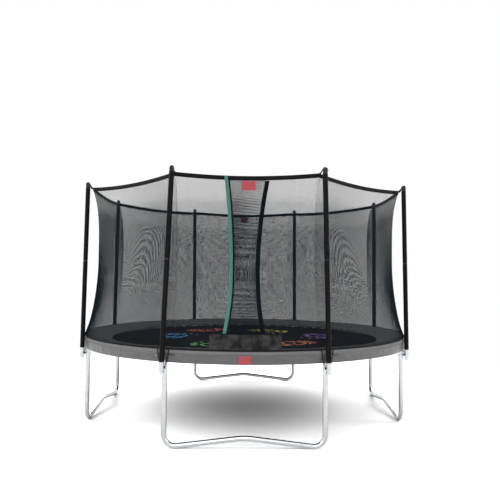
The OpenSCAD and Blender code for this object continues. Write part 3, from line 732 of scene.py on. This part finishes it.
made = new_mesh()
cover(made, 720, 14, skirt_point, rolled=True, size=(11.96, 0.083))
skirt = piece("pad_skirt", closed(made), [skirt_cloth])
lining = skirt.modifiers.new("cloth thickness", "SOLIDIFY")
lining.thickness, lining.offset = 0.0012, -1
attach(skirt, "frame")
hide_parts("pad_cover")

# Safety net, full bays: black knitted polyester net, here with a 4.5 mm mesh, seamed at
# the eight corners, held up by the top band and held down by a corded hem.
thread = Finish("net_thread", Specular_IOR_Level=0.05)
fluff = thread.cloud(90.0, 2.0)
thread.give(
    Base_Color=thread.tint(fluff, (0.004, 0.0075, 0.011), (0.009, 0.016, 0.022)),
    Roughness=0.6 + fluff * 0.2,
    Normal=thread.relief(thread.cloud(1500.0, 1.0), 0.0002, 0.4),
)
net_top_r, net_top_z = 1.855, 2.570
waist_r, waist_z = 1.770, 1.770
band_h, band_sag = 0.042, 0.032
hem_r, hem_out = 0.006, pad_out_r - 0.012
hem_z = pad_top(hem_out) + hem_r + 0.0012
net_low_z = hem_z + hem_r + clear
thread_depth = 0.46  # of a thread's width


def net_r(z):
    if z > waist_z:
        return waist_r + (net_top_r - waist_r) * ((z - waist_z) / (net_top_z - waist_z)) ** 4
    return waist_r + (hem_out - waist_r) * ((waist_z - z) / (waist_z - hem_z)) ** 2


def net_at(i, u, z, out=0.0):
    """A point of bay i, u of the way from its left corner, out from the net's inner face."""
    r = net_r(z) + out
    a0 = net_angle(i % 8)
    a1 = net_angle((i + 1) % 8)
    a1 += 2 * math.pi * round((a0 + math.pi / 4 - a1) / (2 * math.pi))
    w = 1 - (1 - min(1, max(0, (z - hem_z) / (net_top_z - hem_z)))) ** 2.5
    arc = polar(r, a0 + (a1 - a0) * u)
    chord = polar(r, a0).lerp(polar(r, a1), u)
    return arc.lerp(chord, w) + Vector((0, 0, z))


def net_top_at(u):
    return net_top_z - band_sag * 4 * u * (1 - u)


def under_band(u):
    return net_top_at(u) - band_h + 0.004


def thread_wide(z):
    """Threads are drawn thinner towards the top band, where the net is stretched most."""
    return 0.00175 - 0.00047 * min(1, max(0, (z - 2.28) / 0.05))


def strands(made, count, steps, line):
    """Threads through the points line(s, t), each a strip of one grid rolled to a flat bar."""
    verts = bmesh.ops.create_grid(made, x_segments=5 * count - 1, y_segments=steps, size=0.5)["verts"]
    spot = {v: (round((v.co.x + 0.5) * (5 * count - 1)), round((v.co.y + 0.5) * steps)) for v in verts}
    between = {f for v in verts for f in v.link_faces if min(spot[w][0] for w in f.verts) % 5 == 4}
    bmesh.ops.delete(made, geom=list(between), context="FACES_ONLY")
    points = [[line(n / (count - 1), k / steps) for k in range(steps + 1)] for n in range(count)]
    for v, (column, k) in spot.items():
        n, corner = divmod(column, 5)
        p = points[n][k]
        along = (points[n][min(k + 1, steps)] - points[n][max(k - 1, 0)]).normalized()
        out = Vector((p.x, p.y, 0)).normalized()
        side = along.cross(out).normalized()
        half = thread_wide(p.z) / 2
        deep = out * (half * thread_depth)
        v.co = p + (deep, side * half, -deep, -side * half)[corner % 4]
    bmesh.ops.remove_doubles(made, verts=verts, dist=0.000002)
    ends = {e for v in verts if v.is_valid for e in v.link_edges if e.is_boundary}
    bmesh.ops.holes_fill(made, edges=list(ends), sides=4)


def netting(i, low, high, left, right, out, pitch=0.0045):
    """Net of bay i between the edges left(z) and right(z), from low up to high(u), set out by out(s)."""
    made = bmesh.new()
    uneven = 0.3
    top = high(0.5)
    wide = (net_at(i, right(1.6), 1.6) - net_at(i, left(1.6), 1.6)).length
    across, upwards = int(wide / pitch), int((top - low) / pitch)

    def point(s, t, lift):
        # no two threads are the same distance apart, as in a net that was knitted and stretched
        s_off = noise.noise(Vector((s * across * 7.31, 3.7, i * 5.3))) * pitch * uneven / wide
        t_off = noise.noise(Vector((1.7, t * upwards * 7.31, i * 5.3 + 40))) * pitch * uneven / (top - low)
        s = min(max(s + s_off, 0), 1)
        t = min(max(t + t_off, 0), 1)
        z = low + (high(left(top) + (right(top) - left(top)) * s) - low) * t
        return net_at(i, left(z) + (right(z) - left(z)) * s, z, out(s) + lift)

    strands(made, across, max(4, round((top - low) * 9)), lambda n, k: point(n, k, 0.0014))
    strands(made, upwards, 10, lambda n, k: point(k, n, 0.0006))
    return closed(made)


def bay_left(z):
    return 0.0


def bay_right(z):
    return 1.0


def in_line(s):
    return 0.0


for i in range(1, 8):
    net = piece(f"net_{i}", netting(i, net_low_z - 0.004, under_band, bay_left, bay_right, in_line), [thread])
    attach(net, "frame")
    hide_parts(f"net_bay_{i}")

# Net bands: a 35 mm polyester band sewn along the net's top, and a hem with a cord
# inside along its bottom. A narrow tape covers the seam at each corner.


def strip(made, steps, place, w, t, closed_loop=False):
    """Flat webbing: place(v) gives the middle of its back, its direction across and its outward one."""
    profile = [(-0.5, 0.2), (-0.47, 1), (0, 1.08), (0.47, 1), (0.5, 0.2), (0.47, 0), (0, 0), (-0.47, 0)]

    def point(u, v):
        across, out = profile[round(u * len(profile)) % len(profile)]
        middle, side, outwards = place(v)
        return middle + side * (across * w) + outwards * (out * t)

    cover(made, len(profile), steps, point, rolled=True, capped=not closed_loop, size=(2 * w, 1))


def set_cloth(made, scale):
    """Stretches the cloth map along the strip, from a length of 1 to scale metres."""
    cloth = made.loops.layers.uv["cloth"]
    for face in made.faces:
        for corner in face.loops:
            corner[cloth].uv.y *= scale


def flat_of(i, u, z, out):
    """A place on the net and the direction that points out of it."""
    p = net_at(i, u, z, out)
    outwards = Vector((p.x, p.y, 0)).normalized()
    return p, outwards


band_steps = 16


def band_place(v):
    step = round(v * 8 * band_steps) % (8 * band_steps)
    i, u = step // band_steps, (step % band_steps) / band_steps
    p, outwards = flat_of(i, u, net_top_at(u) - band_h / 2, 0.0002)
    return p, Vector((0, 0, 1)), outwards


made = new_mesh()
strip(made, 8 * band_steps, band_place, band_h - 0.0005, 0.0023, closed_loop=True)
set_cloth(made, 11.4)
band = piece("net_band", closed(made), [strap_weave])
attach(band, "frame")
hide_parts("net_bands")


def hem_point(u, v):
    a = 2 * math.pi * v
    gather = 1 + 0.10 * noise.noise(Vector((math.cos(a) * 60, math.sin(a) * 60, u * 2)))
    turn = 2 * math.pi * u
    r = hem_r * 0.95 * gather
    return polar(hem_out + r * math.cos(turn), a, hem_z + r * math.sin(turn))


made = new_mesh()
cover(made, 10, 480, hem_point, rolled=True, size=(0.04, 11.9))
hem = piece("net_hem", closed(made), [strap_weave])
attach(hem, "frame")
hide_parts("net_bands")

tape_w, bay_wide = 0.0024, 1.39
half = tape_w / 2 / bay_wide
for i in range(8):
    made = new_mesh()
    # from the left edge of the tape round its back to the front
    ring = [(-1, 0.0025), (-1, 0.0037), (0, 0.0040), (1, 0.0037), (1, 0.0025), (0, 0.0026)]

    def tape_point(u, v):
        side, out = ring[round(u * 6) % 6]
        z = net_low_z + (net_top_z - band_h - net_low_z - 0.001) * v
        if side < 0:
            return net_at(i - 1, 1 - half, z, out)
        return net_at(i, half if side else 0, z, out)

    cover(made, 6, 36, tape_point, rolled=True, capped=True, size=(2 * tape_w, 1.6))
    tape = piece(f"net_seam_{i + 1}", closed(made), [strap_weave])
    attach(tape, "frame")

# Corner straps: 20 mm webbing from each net corner over the pole's cap to the lug behind
# it, pulled tight through a moulded ladder buckle that sits beside the cap.
strap_w, strap_t, cap_r = 0.020, 0.002, 0.023
dome_off = 0.018 - clear - 0.034
for i in range(8):
    foot, head = pole_ends(i)
    pole_len = (head - foot).length
    dome_z = pole_len - dome_off
    corner = polar(net_r(net_top_z), net_angle(i), net_top_z)
    heading = math.atan2(corner.y - head.y, corner.x - head.x)
    stand = on_pole(i, heading)
    in_r = cap_r + clear
    reach = (corner.xy - head.xy).length - 0.0025
    drop = pole_head_z - net_top_z + dome_z - pole_len + 0.022
    fall = math.atan2(drop, reach) + math.asin(in_r / math.hypot(reach, drop))
    run = math.sqrt(reach**2 + drop**2 - in_r**2) - 0.002
    start, bend = math.radians(170), math.pi / 2 - fall
    arc_len = (start - bend) * in_r

    def strap_place(v):
        # over the dome first, then straight down to the net's corner
        gone = v * (arc_len + run)
        a = start - min(gone, arc_len) / in_r
        out = Vector((math.cos(a), 0, math.sin(a)))
        middle = Vector((0, 0, dome_z)) + out * in_r
        middle += Vector((math.cos(fall), 0, -math.sin(fall))) * max(0, gone - arc_len)
        turned = stand.to_3x3()
        return stand @ middle, turned @ Vector((0, 1, 0)), turned @ out

    made = new_mesh()
    strip(made, 26, strap_place, strap_w - 0.0004, strap_t * 0.92)
    set_cloth(made, arc_len + run)
    strap = piece(f"corner_strap_{i + 1}", closed(made), [strap_weave])
    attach(strap, "frame")
    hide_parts("corner_straps")
    middle, side, outwards = strap_place(min(0.93, (arc_len + run - 0.016) / (arc_len + run)))
    along = side.cross(outwards)
    made = bmesh.new()
    bmesh.ops.create_cube(made, size=1)
    bmesh.ops.scale(made, vec=(0.026, 0.029, 0.0055), verts=made.verts)
    bmesh.ops.bevel(
        made,
        geom=list(made.edges),
        offset=0.0017,
        segments=3,
        affect="EDGES",
        profile=0.5,
        material=-1,
        clamp_overlap=True,
    )
    bar_r = 0.0022
    bar = bmesh.ops.create_cone(
        made, cap_ends=True, segments=12, radius1=bar_r, radius2=bar_r, depth=0.0265
    )["verts"]
    bmesh.ops.rotate(made, verts=bar, cent=(0, 0, 0), matrix=Matrix.Rotation(math.pi / 2, 3, "X"))
    bmesh.ops.translate(made, verts=bar, vec=(0.006, 0, 0.0030))
    laid = Matrix((along, side, outwards)).transposed().to_4x4()
    seat = Matrix.Translation(middle + outwards * 0.0044) @ laid
    bmesh.ops.transform(made, matrix=seat, verts=made.verts)
    buckle = piece(f"strap_buckle_{i + 1}", closed(made), [moulded])
    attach(buckle, "frame")

# Entrance sill: the strip of net below the flaps, with a stiffened panel of tighter
# fabric sewn over its middle, where people climb in.
sill_z, sill_half_w = 1.062, 0.325


def bay_u(x, z):
    return 0.5 + x / (2 * net_r(z) * math.sin(math.radians(22.5 - 0.9)))


made = netting(0, net_low_z - 0.004, lambda u: sill_z, bay_left, bay_right, in_line)
sill = piece("sill_net", made, [thread])
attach(sill, "frame")
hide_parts("entrance_sill")

panel_cloth = Finish("panel_fabric", Specular_IOR_Level=0.15)
across, along = panel_cloth.cloth()
threads = across.wave(0.0032) * along.wave(0.0032)
worn = panel_cloth.cloud(11.0, 4.0)
panel_cloth.give(
    Base_Color=panel_cloth.tint((worn * 3.4 - 1.2).held(), (0.003, 0.003, 0.0035), (0.050, 0.050, 0.052)),
    Roughness=0.55 + worn * 0.2,
    Normal=panel_cloth.relief(threads * 0.5 + worn * 0.8, 0.0012, 0.6),
)
made = new_mesh()


def panel_point(u, v):
    z = net_low_z + (sill_z - net_low_z) * v
    ripple = 0.0012 * noise.noise(Vector((u * 9, v * 3, 2)))
    return net_at(0, bay_u(-sill_half_w + 2 * sill_half_w * u, z), z, 0.0030 + ripple)


cover(made, 60, 12, panel_point, size=(0.65, 0.13))
bmesh.ops.recalc_face_normals(made, faces=made.faces)
panel = piece("sill_panel", made, [panel_cloth])
lining = panel.modifiers.new("cloth thickness", "SOLIDIFY")
lining.thickness, lining.offset = 0.0012, 0
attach(panel, "frame")
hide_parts("entrance_sill")

# Entrance flaps: two overlapping nets that slide apart to let people in. The outer one
# has a green edge backed with black webbing, the inner one a plain black edge.
flap_out, edge_mid_z = 0.008, 1.600
outer_edge, outer_w = (-0.181, -0.130, -0.190), 0.045
inner_edge, inner_w = (0.160, 0.110, 0.210), 0.041


def edge_x(x, z):
    if z > edge_mid_z:
        return x[1] + (x[2] - x[1]) * ((z - edge_mid_z) / (net_top_z - edge_mid_z)) ** 2
    return x[1] + (x[0] - x[1]) * ((edge_mid_z - z) / (edge_mid_z - sill_z)) ** 2


def outer_left(z):
    return bay_u(edge_x(outer_edge, z) + outer_w / 2 - 0.004, z)


def inner_right(z):
    return bay_u(edge_x(inner_edge, z) - inner_w / 2 + 0.004, z)


def step_out(s):
    return flap_out * min(1, 2 * (1 - s))


mesh = netting(0, sill_z + 0.001, under_band, outer_left, bay_right, step_out)
flap = piece("outer_flap_mesh", mesh, [thread])
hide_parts("outer_flap_net")
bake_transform(flap)

mesh = netting(0, sill_z + 0.001, under_band, bay_left, inner_right, in_line)
flap = piece("inner_flap_mesh", mesh, [thread])
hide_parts("inner_flap_net")
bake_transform(flap)

green = Finish("green_tape")
across, along = green.cloth()
rib = (across + abs((along % 0.012) - 0.006)).wave(0.0022)
faded = green.cloud(14.0, 3.0)
green.give(
    Base_Color=green.tint(faded, (0.030, 0.165, 0.125), (0.055, 0.225, 0.175)),
    Roughness=0.5 + faded * 0.2,
    Normal=green.relief(rib * 0.5 + 0.5, 0.0005, 0.6),
)


def edging(made, edge, x0, x1, top, out, t, material):
    """A tape between x0 and x1 to the side of a flap's edge, from the sill up to top(u)."""
    low = sill_z + 0.004

    def place(v):
        u = bay_u(edge_x(edge, top(0.35)) + (x0 + x1) / 2, net_top_z)
        z = low + (top(u) - low) * v
        middle, outwards = flat_of(0, bay_u(edge_x(edge, z) + (x0 + x1) / 2, z), z, out)
        return middle, Vector((1, 0, 0)), outwards

    faces = set(made.faces)
    strip(made, 48, place, x1 - x0 - 0.0004, t)
    for face in set(made.faces) - faces:
        face.material_index = material


green_from, green_to = -outer_w / 2 - 0.004, 0.0065
edging_out = flap_out - clear
made = new_mesh()
edging(made, outer_edge, green_from, green_to, lambda u: net_top_at(u) - 0.002, edging_out, 0.0026, 0)
edging(made, outer_edge, green_to, outer_w / 2, lambda u: net_top_at(u) - 0.003, edging_out, 0.0024, 1)
set_cloth(made, 1.45)
tape = piece("outer_flap_edge", closed(made), [green, strap_weave])
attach(tape, "outer_flap")
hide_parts("outer_flap_binding")

inner_top = net_top_at(0.5) - band_h - 0.001
made = new_mesh()
edging(made, inner_edge, -inner_w / 2, inner_w / 2, lambda u: inner_top, -clear, 0.0024, 0)
set_cloth(made, 1.43)
tape = piece("inner_flap_edge", closed(made), [strap_weave])
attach(tape, "inner_flap")
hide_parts("inner_flap_binding")

# Tags: three bare red labels of woven ribbon, one under the top band over the entrance,
# one on the far band and one on the skirt below the entrance.
ribbon = Finish("red_ribbon", Coat_Weight=0.15, Coat_Roughness=0.3)
across, along = ribbon.cloth()
gloss = ribbon.cloud(45.0, 3.0)
ribbon.give(
    Base_Color=ribbon.tint(gloss, (0.36, 0.035, 0.045), (0.50, 0.070, 0.080)),
    Roughness=0.40 + gloss * 0.15,
    Normal=ribbon.relief(across.wave(0.0016) * along.wave(0.0016), 0.0003, 0.6),
)


def tag(name, x0, x1, z0, z1, place):
    def point(u, v):
        return place(x0 + (x1 - x0) * u, z0 + (z1 - z0) * v, u, v)

    made = new_mesh()
    cover(made, 14, 10, point, size=(x1 - x0, z1 - z0))
    bmesh.ops.recalc_face_normals(made, faces=made.faces)
    if sum(f.normal.dot(f.calc_center_median()) for f in made.faces) < 0:
        bmesh.ops.reverse_faces(made, faces=made.faces)
    corners = [v for v in made.verts if len(v.link_edges) == 2]
    bmesh.ops.bevel(
        made, geom=corners, offset=0.006, segments=4, affect="VERTICES", profile=0.5, material=-1
    )
    label = piece(name, made, [ribbon])
    body = label.modifiers.new("ribbon thickness", "SOLIDIFY")
    body.thickness, body.offset = 0.0012, 0
    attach(label, "frame")


def front_place(x, z, u, v):
    curl = 0.002 * (1 - v) ** 2 * math.cos(3 * u)
    return net_at(0, bay_u(x, z), z, 0.0125 + curl)


def far_place(x, z, u, v):
    return net_at(4, bay_u(-x, z), z, 0.0045)


def skirt_place(x, z, u, v):
    y = -math.sqrt(1.9075**2 - x * x)
    return Vector((x, y, z))


tag("tag_entrance", -0.048, 0.083, 2.404, 2.490, front_place)
tag("tag_far", -0.067, 0.037, 2.418, 2.492, far_place)
tag("tag_skirt", -0.061, 0.053, 0.797, 0.875, skirt_place)

# Net ties: at each pole two doubled elastic cords hold the hem down over the pad's rim
# and end in moulded balls at the lower clamp.
elastic = Finish("elastic_cord", Specular_IOR_Level=0.15)
wear = elastic.cloud(70.0, 3.0)
elastic.give(
    Base_Color=elastic.tint(wear, (0.008, 0.008, 0.009), (0.024, 0.024, 0.026)),
    Roughness=0.5 + wear * 0.2,
    Normal=elastic.relief(elastic.cloud(900.0, 1.0), 0.0003, 0.5),
)
strand_r, cord_r = 0.0022, 0.003


def on_rim(y):
    return math.sqrt((pad_out_r + cord_r + clear) ** 2 - y * y)


def smoothed(points, steps=8):
    """Points along a soft curve through the points given."""
    path = []
    for n in range(len(points) - 1):
        p0, p1, p2, p3 = (points[min(max(n + m, 0), len(points) - 1)] for m in (-1, 0, 1, 2))
        lead = p2 - p0
        bow = 2 * p0 - 5 * p1 + 4 * p2 - p3
        twist = 3 * p1 - p0 - 3 * p2 + p3
        for k in range(steps):
            t = k / steps
            path.append(0.5 * (2 * p1 + lead * t + bow * t**2 + twist * t**3))
    return path + [points[-1]]


cord_foot = 0.737
route = [
    (hem_out + hem_r + cord_r + clear, 0.066, hem_z + 0.001),
    (on_rim(0.062), 0.062, hem_z - 0.008),
    (on_rim(0.052) + 0.0005, 0.052, 0.855),
    (on_rim(0.040), 0.040, skirt_z + 0.005),
    (ring_r + 0.039, 0.024, cord_foot + 0.008),
]
tail_places = ((0.050, 0.868), (0.075, 0.8665), (0.100, 0.867), (0.122, 0.866))
for i in range(8):
    made = new_mesh()
    turn = Matrix.Rotation(leg_angle(i), 4, "Z")
    for side in (1, -1):
        points = [Vector((x, side * y, z)) for x, y, z in route]
        for apart in (-1, 1):
            spread = [Vector((0, apart * (strand_r + 0.0001) * (1 + 0.9 * n / 4), 0)) for n in range(5)]
            path = smoothed([turn @ (p + off) for p, off in zip(points, spread)])
            tube(made, path, strand_r, 7, size=0.22)
        ball = bmesh.ops.create_uvsphere(made, u_segments=14, v_segments=9, radius=0.009)["verts"]
        bmesh.ops.translate(made, verts=ball, vec=turn @ points[-1])
    if i in (0, 1):
        tail = [(on_rim(y) + 0.001, y, z) for y, z in tail_places]
        tube(made, smoothed([turn @ Vector(p) for p in tail]), 0.0024, 8, size=0.07)
    ties = piece(f"net_ties_{i + 1}", closed(made), [elastic])
    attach(ties, "frame")
    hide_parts("tie_cords")
